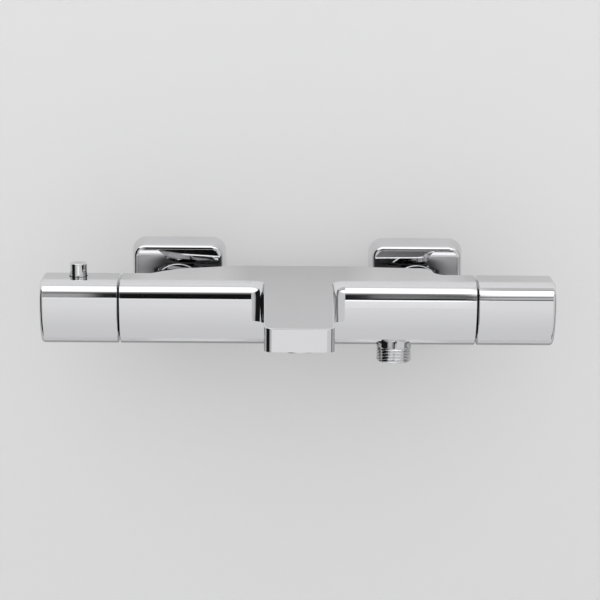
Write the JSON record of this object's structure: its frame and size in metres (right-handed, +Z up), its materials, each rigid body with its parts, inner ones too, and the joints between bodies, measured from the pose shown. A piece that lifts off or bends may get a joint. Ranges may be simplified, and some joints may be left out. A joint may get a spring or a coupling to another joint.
{
  "type": "thermostatic bath mixer",
  "caption": "Wall-mounted bar mixer with square-section body, end handles, safety button, flat fixed spout, top plate, shower outlet and square escutcheons.",
  "frame": {"origin": "on the finished wall, midway between the axes of the hot and cold wall threads", "axes": "+X along the bar towards the flow handle, +Y into the wall along the wall threads, +Z up"},
  "size_m": [0.31, 0.206, 0.0634],
  "materials": {
    "chrome": "polished",
    "brass": "machined",
    "black_rubber": "matt",
    "grey_plastic": "moulded",
    "white_plastic": "moulded",
    "ceramic": "lapped",
    "steel": "drawn wire"
  },
  "bodies": {
    "mixer": {"aerator_housing": "chrome", "aerator_insert": "white_plastic", "aerator_washer": "black_rubber", "body": "chrome", "cold_eccentric_union": "brass", "cold_escutcheon": "chrome", "cold_escutcheon_seal": "black_rubber", "cold_inlet_tail": "brass", "cold_union_nut": "chrome", "cold_union_washer": "black_rubber", "cold_valve_housing": "grey_plastic", "cold_valve_spring": "steel", "diverter_fixed_disc": "ceramic", "diverter_housing": "grey_plastic", "diverter_seat_seal": "black_rubber", "flow_retaining_nut": "brass", "flow_spindle_seal": "black_rubber", "flow_stop_ring": "grey_plastic", "hot_eccentric_union": "brass", "hot_escutcheon": "chrome", "hot_escutcheon_seal": "black_rubber", "hot_inlet_tail": "brass", "hot_union_nut": "chrome", "hot_union_washer": "black_rubber", "hot_valve_housing": "grey_plastic", "hot_valve_spring": "steel", "overload_spring": "steel", "return_spring": "steel", "shower_outlet": "chrome", "shower_valve_housing": "grey_plastic", "shower_valve_spring": "steel", "shower_washer": "black_rubber", "temperature_retaining_nut": "brass", "temperature_spindle_seal": "black_rubber", "temperature_stop_ring": "grey_plastic", "thermostat_housing": "grey_plastic", "thermostat_seals": "black_rubber"},
    "temperature_control": {"temperature_handle": "chrome", "temperature_end_cap": "chrome", "temperature_handle_screw": "steel", "temperature_hub": "white_plastic", "temperature_spindle": "brass", "button_spring": "steel"},
    "safety_button": {"safety_button": "chrome"},
    "flow_control": {"flow_handle": "chrome", "flow_end_cap": "chrome", "flow_handle_screw": "steel", "flow_hub": "white_plastic", "diverter_spindle": "brass", "diverter_moving_disc": "ceramic"},
    "regulator": {"wax_element": "brass", "regulating_slide": "grey_plastic"},
    "hot_poppet": {"hot_valve_poppet": "white_plastic"},
    "cold_poppet": {"cold_valve_poppet": "white_plastic"},
    "shower_poppet": {"shower_valve_poppet": "white_plastic"}
  },
  "joints": [
    {"name": "temperature_turn", "type": "hinge", "parent": "mixer", "child": "temperature_control", "pos_m": [-0.13, -0.072, -0.003], "axis": [1, 0, 0], "range_deg": [-180, 95]},
    {"name": "safety_button_press", "type": "slide", "parent": "temperature_control", "child": "safety_button", "axis": [0, 0, -1], "range_m": [0, 0.003], "stiffness_N_per_m": 1500, "springref_m": -0.002, "deforming": ["button_spring"]},
    {"name": "flow_turn", "type": "hinge", "parent": "mixer", "child": "flow_control", "pos_m": [0.13, -0.072, -0.003], "axis": [1, 0, 0], "range_deg": [-90, 90]},
    {"name": "regulator_travel", "type": "slide", "parent": "mixer", "child": "regulator", "axis": [1, 0, 0], "range_m": [-0.0015, 0.0008], "deforming": ["return_spring", "overload_spring"]},
    {"name": "hot_valve_lift", "type": "slide", "parent": "mixer", "child": "hot_poppet", "axis": [0, -1, 0], "range_m": [0, 0.002], "stiffness_N_per_m": 60, "springref_m": -0.001, "deforming": ["hot_valve_spring"]},
    {"name": "cold_valve_lift", "type": "slide", "parent": "mixer", "child": "cold_poppet", "axis": [0, -1, 0], "range_m": [0, 0.002], "stiffness_N_per_m": 60, "springref_m": -0.001, "deforming": ["cold_valve_spring"]},
    {"name": "shower_valve_lift", "type": "slide", "parent": "mixer", "child": "shower_poppet", "axis": [0, 0, -1], "range_m": [0, 0.002], "stiffness_N_per_m": 60, "springref_m": -0.001, "deforming": ["shower_valve_spring"]}
  ],
  "couplings": [
    {"joint": "regulator_travel", "follows": "temperature_turn", "m_per_rad": 0.000477}
  ]
}
